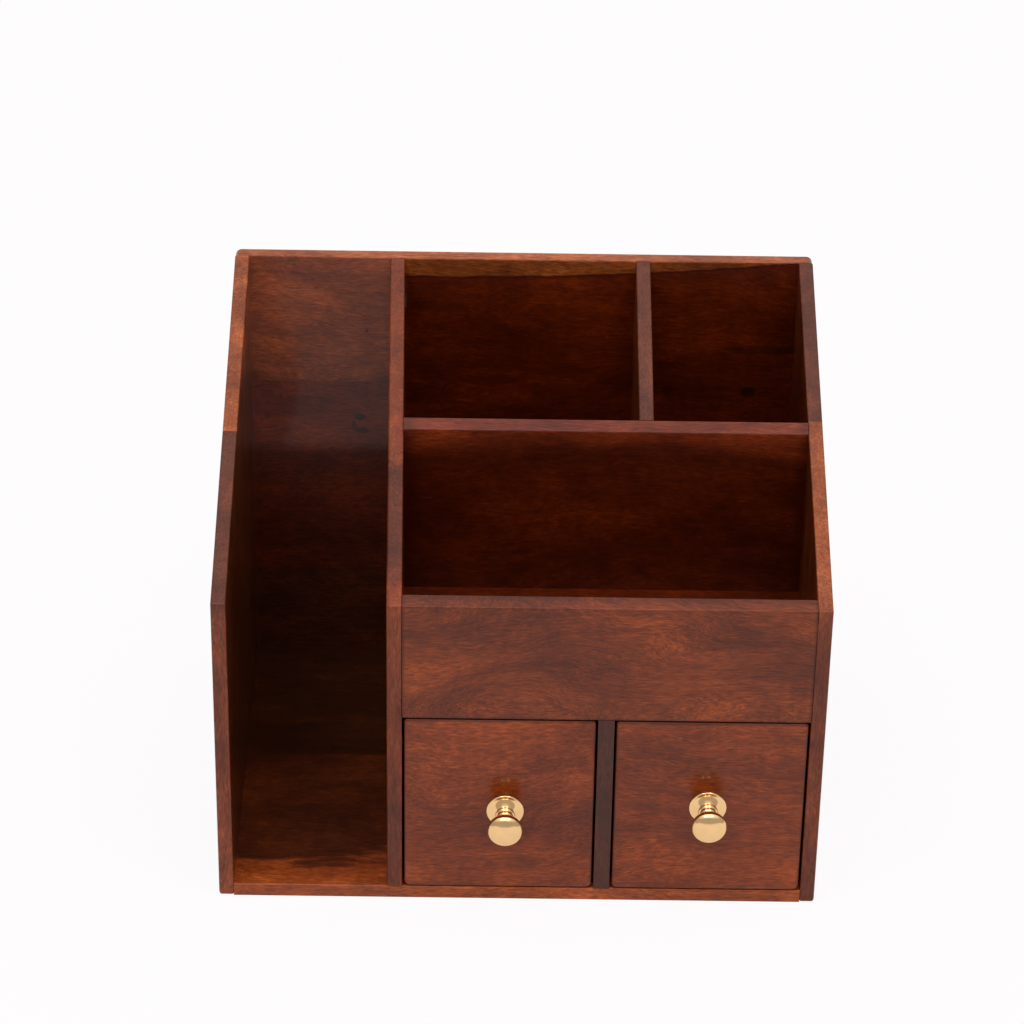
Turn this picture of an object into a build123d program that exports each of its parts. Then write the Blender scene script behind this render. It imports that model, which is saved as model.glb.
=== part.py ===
"""Desk organiser in dark hardwood, with two drawers and turned brass knobs.

A sloped case holds a tall letter bay on the left, an open tray at the front
right, two pen compartments behind the tray and a pair of small drawers below.
The wide panels are glued up from boards, the boards meet in plain butt joints
held by glue and thin pins, and each drawer is a grooved box behind a thicker
front.  Millimetres, +X right, +Y to the back, +Z up.  The origin is the middle
of the case's footprint, on the surface that it stands on.
"""

import os

from build123d import *

# ------------------------------------------------------------------ the case
case_width = 305.0
case_depth = 229.0
back_height = 254.0
front_height = 178.0            # where the sloped top edges reach the front

side_thickness = 7.5
back_thickness = 8.0
base_thickness = 7.5
divider_thickness = 7.8
apron_thickness = 7.5
shelf_thickness = 8.0
partition_thickness = 7.5
pen_divider_thickness = 7.6
post_thickness = 8.3

bay_width = 78.5                # clear width of the letter bay
drawer_opening_height = 104.5   # base to shelf
tray_depth = 101.0              # clear depth of the front tray
wide_pen_width = 117.8          # clear width of the left pen compartment

# ------------------------------------------------- boards that make up panels
back_lower_width = 58.7
back_middle_width = 119.8
base_front_width = 116.0
left_front_width = 105.5
right_seam_lag = 0.5            # right side's glue line behind the base's

# --------------------------------------------------------- hand-sanded edges
arris = 1.0                     # edges that hands and eyes meet
fine_arris = 0.5                # edges inside the case and on drawer boxes
bay_arris = 1.6                 # the bay divider's well-worn left edge
front_corner = 1.5              # slope to front, in profile
foot_corner = 2.2               # front to underside, in profile
back_corner = 3.2               # upper corners of the back
sanded_share = 0.3              # the most of a wall that its sanded edge takes

# --------------------------------------------------------------- the drawers
drawer_side_gap = 0.9
drawer_top_gap = 0.8
drawer_run_gap = 0.3            # under the drawer
drawer_back_gap = 0.4
drawer_front_thickness = 9.5
drawer_side_thickness = 7.6
drawer_back_thickness = 7.6
drawer_side_drop = 6.0          # box sides stand this much below the front's top
drawer_bottom_thickness = 3.2
groove_depth = 3.2
groove_height = 4.5             # underside of the box to the groove
groove_clearance = 0.15
drawer_front_arris = 1.4
upper_corner = 1.6
lower_corner = 3.4

# ------------------------------------------------------- knobs and their screws
knob_flange_diameter = 19.0
knob_collar_diameter = 9.4
knob_groove_diameter = 8.1
knob_bead_diameter = 9.7
knob_head_diameter = 18.2
knob_face_diameter = 15.6       # where the rounded rim meets the domed face
knob_rim_thickness = 0.9
knob_flange_rise = 2.1          # dished flange, rim to collar
knob_flange_sag = 0.46          # how hollow the flange's slope is
knob_collar_height = 2.2
knob_collar_swell = 0.2
knob_groove_height = 1.8
knob_bead_height = 2.2
knob_throat_height = 1.1
knob_back_height = 8.6          # throat to the widest part of the head
knob_shoulder_height = 3.2      # widest part to the edge of the face
knob_dome_height = 1.8
screw_diameter = 4.0
screw_head_diameter = 7.6
screw_head_height = 2.2
screw_head_round = 0.66         # rounded edge of the pan head
screw_slot_width = 1.0
screw_slot_depth = 1.0
screw_reach = 8.0               # length of screw inside the knob
screw_tip_clearance = 0.8
thread_clearance = 0.04
knob_hole_clearance = 0.25      # round the screw, in the drawer front
left_knob_shift = (3.2, -3.5)   # hand-drilled holes: how far off the front's middle
right_knob_shift = (-0.5, 0.1)

# ---------------------------------------------------------------------- pins
pin_diameter = 1.3
pin_length = 21.0
pin_set = 0.7                   # heads driven below the surface
pin_clearance = 0.05
pin_end_margin = 22.0           # first and last pin from the ends of a row
drawer_pin_margin = 9.0
base_pins_per_side = 4
back_pins_per_board = 3
shelf_pins_per_end = 4
drawer_pins_per_joint = 3

# ------------------------------------------------------- places worked out
left_x = -case_width / 2
right_x = case_width / 2
front_y = -case_depth / 2
rear_y = case_depth / 2
back_face_y = rear_y - back_thickness
left_wall_x = left_x + side_thickness
right_wall_x = right_x - side_thickness
divider_x = left_wall_x + bay_width
tray_left_x = divider_x + divider_thickness
base_top = base_thickness
shelf_bottom = base_top + drawer_opening_height
shelf_top = shelf_bottom + shelf_thickness
tray_front_y = front_y + apron_thickness
partition_y = tray_front_y + tray_depth
pen_front_y = partition_y + partition_thickness
pen_divider_x = tray_left_x + wide_pen_width
opening_width = (right_wall_x - tray_left_x - post_thickness) / 2
post_x = tray_left_x + opening_width
slope = (back_height - front_height) / (back_face_y - front_y)
right_front_width = base_front_width + right_seam_lag

drawer_width = opening_width - 2 * drawer_side_gap
drawer_length = back_face_y - drawer_back_gap - front_y
drawer_underside = base_top + drawer_run_gap
drawer_height = drawer_opening_height - drawer_run_gap - drawer_top_gap
drawer_middle_z = drawer_underside + drawer_height / 2
box_front_y = front_y + drawer_front_thickness
box_rear_y = front_y + drawer_length
box_height = drawer_height - drawer_side_drop

pin_hole_radius = pin_diameter / 2 + pin_clearance
pin_hole_depth = pin_set + pin_length + pin_clearance


def top_at(y):
    """Height of the sloped top at a distance along the case."""
    return front_height + slope * (y - front_y)


def eased(radius, wall):
    """A sanded radius, never more than its wall can give."""
    return min(radius, sanded_share * wall)


def spread(low, high, count, margin):
    """Evenly spaced values between two ends, each row's margin left free."""
    reach = min(margin, (high - low) / 4)
    step = (high - low - 2 * reach) / max(count - 1, 1)
    return [low + reach + step * number for number in range(count)]


def save(piece, name):
    """Label a finished piece and write its own file."""
    piece.part.label = name
    export_step(piece.part, f"parts/{name}.step")


def drill_pins(places):
    """Cut the holes of a row of pins in the piece being built."""
    with Locations(*places):
        Hole(pin_hole_radius, depth=pin_hole_depth)


def drive_pins(places):
    """Add a row of headless pins, set below the surface, to the piece being built."""
    with Locations(*[place.offset(-pin_set) for place in places]):
        Cylinder(pin_diameter / 2, pin_length, align=(Align.CENTER, Align.CENTER, Align.MAX))


# ----------------------------------------------------------- where pins go
base_pin_rows = spread(front_y, back_face_y, base_pins_per_side, pin_end_margin)
shelf_pin_rows = spread(tray_front_y, back_face_y, shelf_pins_per_end, pin_end_margin)
back_pin_rows = spread(base_top, back_height, back_pins_per_board, pin_end_margin)
divider_middle_x = divider_x + divider_thickness / 2

left_base_pins = [Plane((left_x, y, base_thickness / 2), z_dir=(-1, 0, 0)) for y in base_pin_rows]
right_base_pins = [Plane((right_x, y, base_thickness / 2), z_dir=(1, 0, 0)) for y in base_pin_rows]
shelf_middle_z = shelf_bottom + shelf_thickness / 2
left_shelf_pins = [Plane((divider_x, y, shelf_middle_z), z_dir=(-1, 0, 0)) for y in shelf_pin_rows]
right_shelf_pins = [Plane((right_x, y, shelf_middle_z), z_dir=(1, 0, 0)) for y in shelf_pin_rows]
back_pins = [
    Plane((x, rear_y, z), z_dir=(0, 1, 0))
    for x in (left_x + side_thickness / 2, divider_middle_x, right_x - side_thickness / 2)
    for z in back_pin_rows
]
case_pin_places = left_base_pins + right_base_pins + left_shelf_pins + right_shelf_pins + back_pins


def sloped_panel(low_x, thickness, low_z, left_radius, right_radius):
    """A full-depth panel with the case's sloped top, its front edges eased.

    The foot is rounded only where the panel itself stands on the surface.
    """
    with BuildPart() as panel:
        with BuildSketch(Plane.YZ.offset(low_x)) as outline:
            with BuildLine():
                Polyline(
                    (front_y, low_z),
                    (front_y, front_height),
                    (back_face_y, back_height),
                    (back_face_y, low_z),
                    close=True,
                )
            make_face()
            corners = outline.vertices().group_by(Axis.X)[0].sort_by(Axis.Y)
            fillet(corners[-1], front_corner)
            if low_z == 0:
                fillet(outline.vertices().group_by(Axis.X)[0].sort_by(Axis.Y)[0], foot_corner)
        extrude(amount=thickness)
        for side_face, radius in ((Axis.X, left_radius), (-Axis.X, right_radius)):
            edges = panel.faces().sort_by(side_face)[0].edges()
            worn = edges.filter_by(lambda edge: edge.center().Y < back_face_y - fine_arris)
            if low_z > 0:
                worn = worn.filter_by(lambda edge: edge.center().Z > low_z + fine_arris)
            fillet(worn, eased(radius, thickness))
    return panel


def board_of(panel, plane, keep, places):
    """One board of a glued-up panel, cut at its glue line and drilled for pins."""
    with BuildPart() as board:
        add(panel.part)
        split(bisect_by=plane, keep=keep)
        drill_pins(places)
    return board


def make_sides():
    """Left and right panels, each glued up from a front and a rear board."""
    sides = (
        ("left", left_x, left_front_width, left_base_pins + back_pins),
        ("right", right_wall_x, right_front_width, right_base_pins + right_shelf_pins + back_pins),
    )
    for side, low_x, front_width, places in sides:
        panel = sloped_panel(low_x, side_thickness, 0, arris, arris)
        glue_line = Plane((0, front_y + front_width, 0), z_dir=(0, 1, 0))
        save(board_of(panel, glue_line, Keep.BOTTOM, places), f"{side}_side_front_board")
        save(board_of(panel, glue_line, Keep.TOP, places), f"{side}_side_rear_board")


def make_back():
    """The back: three boards across the full width, its upper corners rounded."""
    with BuildPart() as panel:
        with BuildSketch(Plane.XZ.offset(-rear_y)) as outline:
            with Locations((0, back_height / 2)):
                Rectangle(case_width, back_height)
            fillet(outline.vertices().group_by(Axis.Y)[-1], back_corner)
        extrude(amount=back_thickness)
        rear_edges = panel.faces().sort_by(Axis.Y)[-1].edges()
        fillet(rear_edges, eased(arris, back_thickness))
        top_edges = panel.faces().sort_by(Axis.Y)[0].edges()
        top_edges = top_edges.filter_by(lambda edge: edge.center().Z > back_height - back_corner)
        fillet(top_edges, eased(fine_arris, back_thickness))
    lower_line = Plane((0, 0, back_lower_width), z_dir=(0, 0, 1))
    upper_line = Plane((0, 0, back_lower_width + back_middle_width), z_dir=(0, 0, 1))
    save(board_of(panel, lower_line, Keep.BOTTOM, back_pins), "back_lower_board")
    with BuildPart() as middle:
        add(panel.part)
        split(bisect_by=lower_line, keep=Keep.TOP)
        split(bisect_by=upper_line, keep=Keep.BOTTOM)
        drill_pins(back_pins)
    save(middle, "back_middle_board")
    save(board_of(panel, upper_line, Keep.TOP, back_pins), "back_upper_board")


def make_base():
    """The base between the side panels, a front and a rear board."""
    with BuildPart() as panel:
        with BuildSketch(Plane.YZ.offset(left_wall_x)):
            with Locations(((front_y + back_face_y) / 2, base_thickness / 2)):
                Rectangle(back_face_y - front_y, base_thickness)
        extrude(amount=right_wall_x - left_wall_x)
        front_edges = panel.faces().sort_by(Axis.Y)[0].edges().filter_by(Axis.X)
        fillet(front_edges, eased(arris, base_thickness))
    glue_line = Plane((0, front_y + base_front_width, 0), z_dir=(0, 1, 0))
    places = left_base_pins + right_base_pins
    save(board_of(panel, glue_line, Keep.BOTTOM, places), "base_front_board")
    save(board_of(panel, glue_line, Keep.TOP, places), "base_rear_board")


def make_divider():
    """The full-depth board between the letter bay and the tray and drawers."""
    panel = sloped_panel(divider_x, divider_thickness, base_top, bay_arris, arris)
    with BuildPart() as bay_divider:
        add(panel.part)
        drill_pins(left_shelf_pins + back_pins)
    save(bay_divider, "bay_divider")


def cross_board(low_y, thickness, low_z, left_end, right_end, front_radius, rear_radius):
    """A board that runs across the case, its top edge planed to the slope."""
    with BuildPart() as board:
        with BuildSketch(Plane.YZ.offset(left_end)):
            with BuildLine():
                Polyline(
                    (low_y, low_z),
                    (low_y, top_at(low_y)),
                    (low_y + thickness, top_at(low_y + thickness)),
                    (low_y + thickness, low_z),
                    close=True,
                )
            make_face()
        extrude(amount=right_end - left_end)
        long_edges = board.edges().filter_by(Axis.X)
        lower = long_edges.group_by(Axis.Z)[0].sort_by(Axis.Y)[0]
        front_top = board.faces().sort_by(Axis.Y)[0].edges().filter_by(Axis.X).sort_by(Axis.Z)[-1]
        rear_top = board.faces().sort_by(Axis.Y)[-1].edges().filter_by(Axis.X).sort_by(Axis.Z)[-1]
        fillet(front_top, eased(front_radius, thickness))
        fillet(rear_top, eased(rear_radius, thickness))
        if low_z < shelf_top:
            fillet(lower, eased(fine_arris, thickness))
    return board


def make_shelf_and_cross_boards():
    """Apron, tray floor, cross partition and pen divider."""
    apron = cross_board(front_y, apron_thickness, shelf_bottom, tray_left_x, right_wall_x, arris, fine_arris)
    save(apron, "front_apron")

    with BuildPart() as tray_floor:
        with BuildSketch(Plane.XY.offset(shelf_bottom)):
            with Locations(((tray_left_x + right_wall_x) / 2, (tray_front_y + back_face_y) / 2)):
                Rectangle(right_wall_x - tray_left_x, back_face_y - tray_front_y)
        extrude(amount=shelf_thickness)
        drill_pins(left_shelf_pins + right_shelf_pins)
    save(tray_floor, "tray_floor")

    partition = cross_board(
        partition_y, partition_thickness, shelf_top, tray_left_x, right_wall_x, arris, fine_arris
    )
    save(partition, "cross_partition")

    with BuildPart() as pen_divider:
        with BuildSketch(Plane.YZ.offset(pen_divider_x)):
            with BuildLine():
                Polyline(
                    (pen_front_y, shelf_top),
                    (pen_front_y, top_at(pen_front_y)),
                    (back_face_y, back_height),
                    (back_face_y, shelf_top),
                    close=True,
                )
            make_face()
        extrude(amount=pen_divider_thickness)
        top_face = pen_divider.faces().sort_by(Axis.Z)[-1]
        long_edges = top_face.edges().filter_by(Axis.X, reverse=True)
        fillet(long_edges, eased(arris, pen_divider_thickness))
    save(pen_divider, "pen_divider")


def make_drawer_partition():
    """The upright board between the two drawers, full depth, its front edge showing."""
    with BuildPart() as drawer_partition:
        with BuildSketch(Plane.XY.offset(base_top)):
            with Locations((post_x + post_thickness / 2, (front_y + back_face_y) / 2)):
                Rectangle(post_thickness, back_face_y - front_y)
        extrude(amount=drawer_opening_height)
        front_edges = drawer_partition.faces().sort_by(Axis.Y)[0].edges().filter_by(Axis.Z)
        fillet(front_edges, eased(fine_arris, post_thickness))
    save(drawer_partition, "drawer_partition")


def make_case_pins():
    """All the pins that hold the case, as one group."""
    with BuildPart() as case_pins:
        drive_pins(case_pin_places)
    save(case_pins, "case_pins")


def make_drawer_box(side, middle_x, knob_x, knob_z):
    """One drawer: front, two sides, back and bottom, with its pins."""
    low_x = middle_x - drawer_width / 2
    high_x = middle_x + drawer_width / 2
    box_left_x = low_x + drawer_side_thickness
    box_right_x = high_x - drawer_side_thickness
    groove_low = drawer_underside + groove_height
    bottom_left_x = box_left_x - groove_depth + groove_clearance
    bottom_right_x = box_right_x + groove_depth - groove_clearance
    bottom_front_y = box_front_y - groove_depth + groove_clearance
    bottom_rear_y = box_rear_y - drawer_back_thickness + groove_depth - groove_clearance
    groove_middle = Location(
        (middle_x, (bottom_front_y + bottom_rear_y) / 2, groove_low + drawer_bottom_thickness / 2)
    )
    groove_size = (
        bottom_right_x - bottom_left_x + 2 * groove_clearance,
        bottom_rear_y - bottom_front_y + 2 * groove_clearance,
        drawer_bottom_thickness,
    )
    pin_rows = spread(drawer_underside, drawer_underside + box_height, drawer_pins_per_joint, drawer_pin_margin)
    side_middles = (low_x + drawer_side_thickness / 2, high_x - drawer_side_thickness / 2)
    back_middle_y = box_rear_y - drawer_back_thickness / 2
    front_pins = [Plane((x, front_y, z), z_dir=(0, -1, 0)) for x in side_middles for z in pin_rows]
    left_pins = [Plane((low_x, back_middle_y, z), z_dir=(-1, 0, 0)) for z in pin_rows]
    right_pins = [Plane((high_x, back_middle_y, z), z_dir=(1, 0, 0)) for z in pin_rows]

    with BuildPart() as front:
        with BuildSketch(Plane.XZ.offset(-box_front_y)) as outline:
            with Locations((middle_x, drawer_middle_z)):
                Rectangle(drawer_width, drawer_height)
            fillet(outline.vertices().group_by(Axis.Y)[-1], upper_corner)
            fillet(outline.vertices().group_by(Axis.Y)[0], lower_corner)
        extrude(amount=drawer_front_thickness)
        show_edges = front.faces().sort_by(Axis.Y)[0].edges()
        fillet(show_edges, eased(drawer_front_arris, drawer_front_thickness))
        with Locations(groove_middle):
            Box(*groove_size, mode=Mode.SUBTRACT)
        with Locations(Plane((knob_x, front_y, knob_z), z_dir=(0, -1, 0))):
            Hole(screw_diameter / 2 + knob_hole_clearance)
        drill_pins(front_pins)
    save(front, f"{side}_drawer_front")

    for hand, wall_x, places in (("left", low_x, left_pins), ("right", box_right_x, right_pins)):
        with BuildPart() as wall:
            with BuildSketch(Plane.XY.offset(drawer_underside)):
                with Locations((wall_x + drawer_side_thickness / 2, (box_front_y + box_rear_y) / 2)):
                    Rectangle(drawer_side_thickness, box_rear_y - box_front_y)
            extrude(amount=box_height)
            fillet(wall.faces().sort_by(Axis.Z)[-1].edges().filter_by(Axis.Y), fine_arris)
            with Locations(groove_middle):
                Box(*groove_size, mode=Mode.SUBTRACT)
            drill_pins(front_pins + places)
        save(wall, f"{side}_drawer_{hand}_side")

    with BuildPart() as back:
        with BuildSketch(Plane.XY.offset(drawer_underside)):
            with Locations((middle_x, back_middle_y)):
                Rectangle(box_right_x - box_left_x, drawer_back_thickness)
        extrude(amount=box_height)
        fillet(back.faces().sort_by(Axis.Z)[-1].edges().filter_by(Axis.X), fine_arris)
        with Locations(groove_middle):
            Box(*groove_size, mode=Mode.SUBTRACT)
        drill_pins(left_pins + right_pins)
    save(back, f"{side}_drawer_back")

    with BuildPart() as bottom:
        with BuildSketch(Plane.XY.offset(groove_low)):
            with Locations((middle_x, (bottom_front_y + bottom_rear_y) / 2)):
                Rectangle(bottom_right_x - bottom_left_x, bottom_rear_y - bottom_front_y)
        extrude(amount=drawer_bottom_thickness)
    save(bottom, f"{side}_drawer_bottom")

    with BuildPart() as pins:
        drive_pins(front_pins + left_pins + right_pins)
    save(pins, f"{side}_drawer_pins")


def make_knob(side, knob_x, knob_z):
    """A turned knob, drawn as half its section and revolved about its axis.

    In the sketch, X is the radius and Y runs out from the drawer front.
    """
    axis_plane = Plane((knob_x, front_y, knob_z), x_dir=(1, 0, 0), z_dir=(0, 0, -1))
    flange = knob_flange_diameter / 2
    collar = knob_collar_diameter / 2
    groove = knob_groove_diameter / 2
    bead = knob_bead_diameter / 2
    head = knob_head_diameter / 2
    face = knob_face_diameter / 2
    collar_low = knob_rim_thickness + knob_flange_rise
    collar_high = collar_low + knob_collar_height
    bead_low = collar_high + knob_groove_height
    bead_high = bead_low + knob_bead_height
    throat_end = bead_high + knob_throat_height
    widest = throat_end + knob_back_height
    face_edge = widest + knob_shoulder_height
    face_top = face_edge + knob_dome_height
    with BuildPart() as knob:
        with BuildSketch(axis_plane):
            with BuildLine():
                Polyline((0, face_top), (0, 0), (flange, 0), (flange, knob_rim_thickness))
                ThreePointArc(
                    (flange, knob_rim_thickness),
                    ((flange + collar) / 2, (knob_rim_thickness + collar_low) / 2 - knob_flange_sag),
                    (collar, collar_low),
                )
                ThreePointArc(
                    (collar, collar_low),
                    (collar + knob_collar_swell, (collar_low + collar_high) / 2),
                    (collar, collar_high),
                )
                Polyline((collar, collar_high), (groove, collar_high + knob_collar_swell), (groove, bead_low))
                ThreePointArc((groove, bead_low), (bead, (bead_low + bead_high) / 2), (groove, bead_high))
                Line((groove, bead_high), (groove, throat_end))
                TangentArc((head, widest), (groove, throat_end), tangent=(0, -1))
                TangentArc((head, widest), (face, face_edge), tangent=(0, 1))
                TangentArc((0, face_top), (face, face_edge), tangent=(1, 0))
            make_face()
        revolve(axis=Axis((knob_x, front_y, knob_z), (0, 1, 0)))
        with Locations(Plane((knob_x, front_y, knob_z), z_dir=(0, 1, 0))):
            Hole(screw_diameter / 2 + thread_clearance, depth=screw_reach + screw_tip_clearance)
    save(knob, f"{side}_knob")


def make_knob_screw(side, knob_x, knob_z):
    """A slotted pan-head screw, driven from inside the drawer into the knob."""
    shank_length = drawer_front_thickness + screw_reach
    with BuildPart() as screw:
        with BuildSketch(Plane.XZ.offset(-box_front_y)):
            with Locations((knob_x, knob_z)):
                Circle(screw_head_diameter / 2)
        extrude(amount=-screw_head_height)
        rim = screw.faces().sort_by(Axis.Y)[-1].edges()
        fillet(rim, eased(screw_head_round, screw_head_height))
        with BuildSketch(Plane.XZ.offset(-box_front_y)):
            with Locations((knob_x, knob_z)):
                Circle(screw_diameter / 2)
        extrude(amount=shank_length)
        with Locations((knob_x, box_front_y + screw_head_height, knob_z)):
            Box(screw_head_diameter, 2 * screw_slot_depth, screw_slot_width, mode=Mode.SUBTRACT)
    save(screw, f"{side}_knob_screw")


os.makedirs("parts", exist_ok=True)
make_sides()
make_back()
make_base()
make_divider()
make_shelf_and_cross_boards()
make_drawer_partition()
make_case_pins()
left_middle_x = tray_left_x + opening_width / 2
right_middle_x = right_wall_x - opening_width / 2
for side, middle_x, knob_shift in (
    ("left", left_middle_x, left_knob_shift),
    ("right", right_middle_x, right_knob_shift),
):
    knob_place = (middle_x + knob_shift[0], drawer_middle_z + knob_shift[1])
    make_drawer_box(side, middle_x, *knob_place)
    make_knob(side, *knob_place)
    make_knob_screw(side, *knob_place)
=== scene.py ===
"""Looks of the hardwood desk organiser: lacquered boards, brass knobs and studio."""

import logging
import math
from dataclasses import dataclass
from enum import Enum
from typing import Sequence

import bmesh
import bpy
from mathutils import Matrix, Vector


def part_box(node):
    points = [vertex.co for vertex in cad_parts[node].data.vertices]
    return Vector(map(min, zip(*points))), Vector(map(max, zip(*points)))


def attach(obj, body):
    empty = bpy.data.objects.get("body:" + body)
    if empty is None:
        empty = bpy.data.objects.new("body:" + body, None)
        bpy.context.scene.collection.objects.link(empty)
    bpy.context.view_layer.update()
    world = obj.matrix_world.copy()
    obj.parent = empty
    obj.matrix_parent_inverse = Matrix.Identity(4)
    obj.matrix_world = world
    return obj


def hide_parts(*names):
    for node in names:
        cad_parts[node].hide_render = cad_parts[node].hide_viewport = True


log = logging.getLogger("organiser")
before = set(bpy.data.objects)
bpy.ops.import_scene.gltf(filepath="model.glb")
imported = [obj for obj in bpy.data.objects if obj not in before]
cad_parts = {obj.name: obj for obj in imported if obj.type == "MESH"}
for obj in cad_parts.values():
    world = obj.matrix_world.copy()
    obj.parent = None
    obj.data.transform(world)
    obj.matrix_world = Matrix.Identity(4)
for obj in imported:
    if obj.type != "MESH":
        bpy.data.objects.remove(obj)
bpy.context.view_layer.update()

Number = float | int
Colour = tuple[float, float, float]
Point = tuple[float, float, float]
MM = 0.001
MERGE_DISTANCE = 0.000002
LATHE_MERGE_DISTANCE = 0.000005


# --------------------------------------------------------------------- shader maths
class Wire:
    """An output socket of a node, on which Python's operators add Math nodes."""

    def __init__(self, graph: "Graph", socket: bpy.types.NodeSocket) -> None:
        """Keep the socket and the graph that it belongs to."""
        self.graph = graph
        self.socket = socket

    def _math(
        self, operation: str, first: "Wire | Number", second: "Wire | Number", clamp: bool = False
    ) -> "Wire":
        """Add one Math node.

        Args:
            operation: The Math node's operation.
            first: The upper input.
            second: The lower input.
            clamp: Whether the result is held between 0 and 1.

        Returns:
            The node's output.
        """
        settings = {"operation": operation, "use_clamp": clamp}
        return self.graph.node("ShaderNodeMath", settings, {0: first, 1: second})

    def __add__(self, other: "Wire | Number") -> "Wire":
        """Sum."""
        return self._math("ADD", self, other)

    __radd__ = __add__

    def __sub__(self, other: "Wire | Number") -> "Wire":
        """Difference."""
        return self._math("SUBTRACT", self, other)

    def __rsub__(self, other: Number) -> "Wire":
        """Difference from a number."""
        return self._math("SUBTRACT", other, self)

    def __mul__(self, other: "Wire | Number") -> "Wire":
        """Product."""
        return self._math("MULTIPLY", self, other)

    __rmul__ = __mul__

    def __truediv__(self, other: "Wire | Number") -> "Wire":
        """Quotient."""
        return self._math("DIVIDE", self, other)

    def __abs__(self) -> "Wire":
        """Distance from 0."""
        return self._math("ABSOLUTE", self, 0.0)

    def clamp(self) -> "Wire":
        """The value held between 0 and 1."""
        return self._math("ADD", self, 0.0, clamp=True)

    def step(self, low: Number, high: Number) -> "Wire":
        """A smooth ramp from 0 at low to 1 at high.

        Args:
            low: Where the ramp is 0.
            high: Where it is 1, which may be the lower number of the two.

        Returns:
            The ramp's value.
        """
        falls = low > high
        ends = (high, low, 1.0, 0.0) if falls else (low, high, 0.0, 1.0)
        inputs = {"Value": self, **dict(enumerate(ends, start=1))}
        return self.graph.node("ShaderNodeMapRange", {"interpolation_type": "SMOOTHSTEP"}, inputs)


class Graph:
    """The node tree of one material, filled by short calls."""

    def __init__(self, name: str) -> None:
        """Start an empty material with its output and shader.

        Args:
            name: The material's name.
        """
        self.material = bpy.data.materials.new(name)
        self.material.use_nodes = True
        self.tree = self.material.node_tree
        self.tree.nodes.clear()
        self.output = self.tree.nodes.new("ShaderNodeOutputMaterial")
        self.shader = self.tree.nodes.new("ShaderNodeBsdfPrincipled")
        self.tree.links.new(self.shader.outputs["BSDF"], self.output.inputs["Surface"])

    def node(
        self, kind: str, settings: dict | None = None, inputs: dict | None = None, output: str | int = 0
    ) -> Wire:
        """Add a node.

        Args:
            kind: The node's type.
            settings: Its properties, set first.
            inputs: Values or wires by socket name or number.
            output: Which output is returned.

        Returns:
            The chosen output.
        """
        made = self.tree.nodes.new(kind)
        for name, value in (settings or {}).items():
            setattr(made, name, value)
        for key, value in (inputs or {}).items():
            self.plug(made.inputs[key], value)
        return Wire(self, made.outputs[output])

    def plug(self, socket: bpy.types.NodeSocket, value: object) -> None:
        """Link a wire to a socket, or set the socket's own value."""
        if isinstance(value, Wire):
            self.tree.links.new(value.socket, socket)
        else:
            socket.default_value = value

    def set(self, **values: object) -> None:
        """Set or link the shader's sockets, named with underscores for spaces."""
        for name, value in values.items():
            self.plug(self.shader.inputs[name.replace("_", " ")], value)

    def place(self) -> tuple[Wire, Wire, Wire]:
        """Object coordinates in metres, as three wires."""
        coordinates = self.node("ShaderNodeTexCoord", output="Object")
        parts = self.tree.nodes.new("ShaderNodeSeparateXYZ")
        self.tree.links.new(coordinates.socket, parts.inputs[0])
        return tuple(Wire(self, parts.outputs[axis]) for axis in range(3))

    def join(self, x: Wire | Number, y: Wire | Number, z: Wire | Number) -> Wire:
        """Three values as one vector."""
        return self.node("ShaderNodeCombineXYZ", inputs={0: x, 1: y, 2: z})

    def noise(
        self, where: Wire, scale: float = 1.0, detail: float = 2.0, rough: float = 0.5, warp: float = 0.0
    ) -> Wire:
        """Perlin noise from 0 to 1.

        Args:
            where: The place that it is read at.
            scale: How fine it is.
            detail: How many finer layers it has.
            rough: How strong those layers are.
            warp: How far it is distorted.

        Returns:
            The noise's value.
        """
        values = {"Vector": where, "Scale": scale, "Detail": detail, "Roughness": rough, "Distortion": warp}
        return self.node("ShaderNodeTexNoise", inputs=values)

    def ramp(self, value: Wire, stops: Sequence[tuple[float, Sequence[float]]]) -> Wire:
        """Colours by value, eased between the stops."""
        made = self.tree.nodes.new("ShaderNodeValToRGB")
        elements = made.color_ramp.elements
        while len(elements) < len(stops):
            elements.new(1.0)
        for element, (position, colour) in zip(elements, stops):
            element.position = position
            element.color = (*colour, 1.0)
        self.plug(made.inputs[0], value)
        return Wire(self, made.outputs[0])

    def mix(self, factor: Wire | Number, first: Wire | Colour, second: Wire | Colour) -> Wire:
        """Mix two colours."""
        made = self.tree.nodes.new("ShaderNodeMix")
        made.data_type = "RGBA"
        made.clamp_factor = True
        self.plug(made.inputs[0], factor)
        for socket, colour in ((made.inputs[6], first), (made.inputs[7], second)):
            self.plug(socket, colour if isinstance(colour, Wire) else (*colour, 1.0))
        return Wire(self, made.outputs[2])


# ------------------------------------------------------------------------- finishes
class Grain(Enum):
    """The direction in which a board's fibres run."""

    ACROSS = 0
    DEEP = 1
    UPRIGHT = 2


@dataclass(frozen=True)
class Stain:
    """The colour of one board under its lacquer, with its darker and lighter fibres, and also of painted
    light and shade laid over a board.
    """

    colour: Colour = (0.178, 0.0275, 0.0028)
    contrast: float = 1.15
    weights: Colour = (0.92, 1.08, 1.15)

    def shade(self, strength: float) -> Colour:
        """The colour deepened (below 0) or bleached (above 0), redder as it deepens.

        Args:
            strength: From -1 for the darkest fibres to 1 for the lightest.

        Returns:
            The shade as linear red, green and blue.
        """
        doublings = (strength * self.contrast * weight for weight in self.weights)
        return tuple(part * 2.0 ** doubling for part, doubling in zip(self.colour, doublings))


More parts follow.
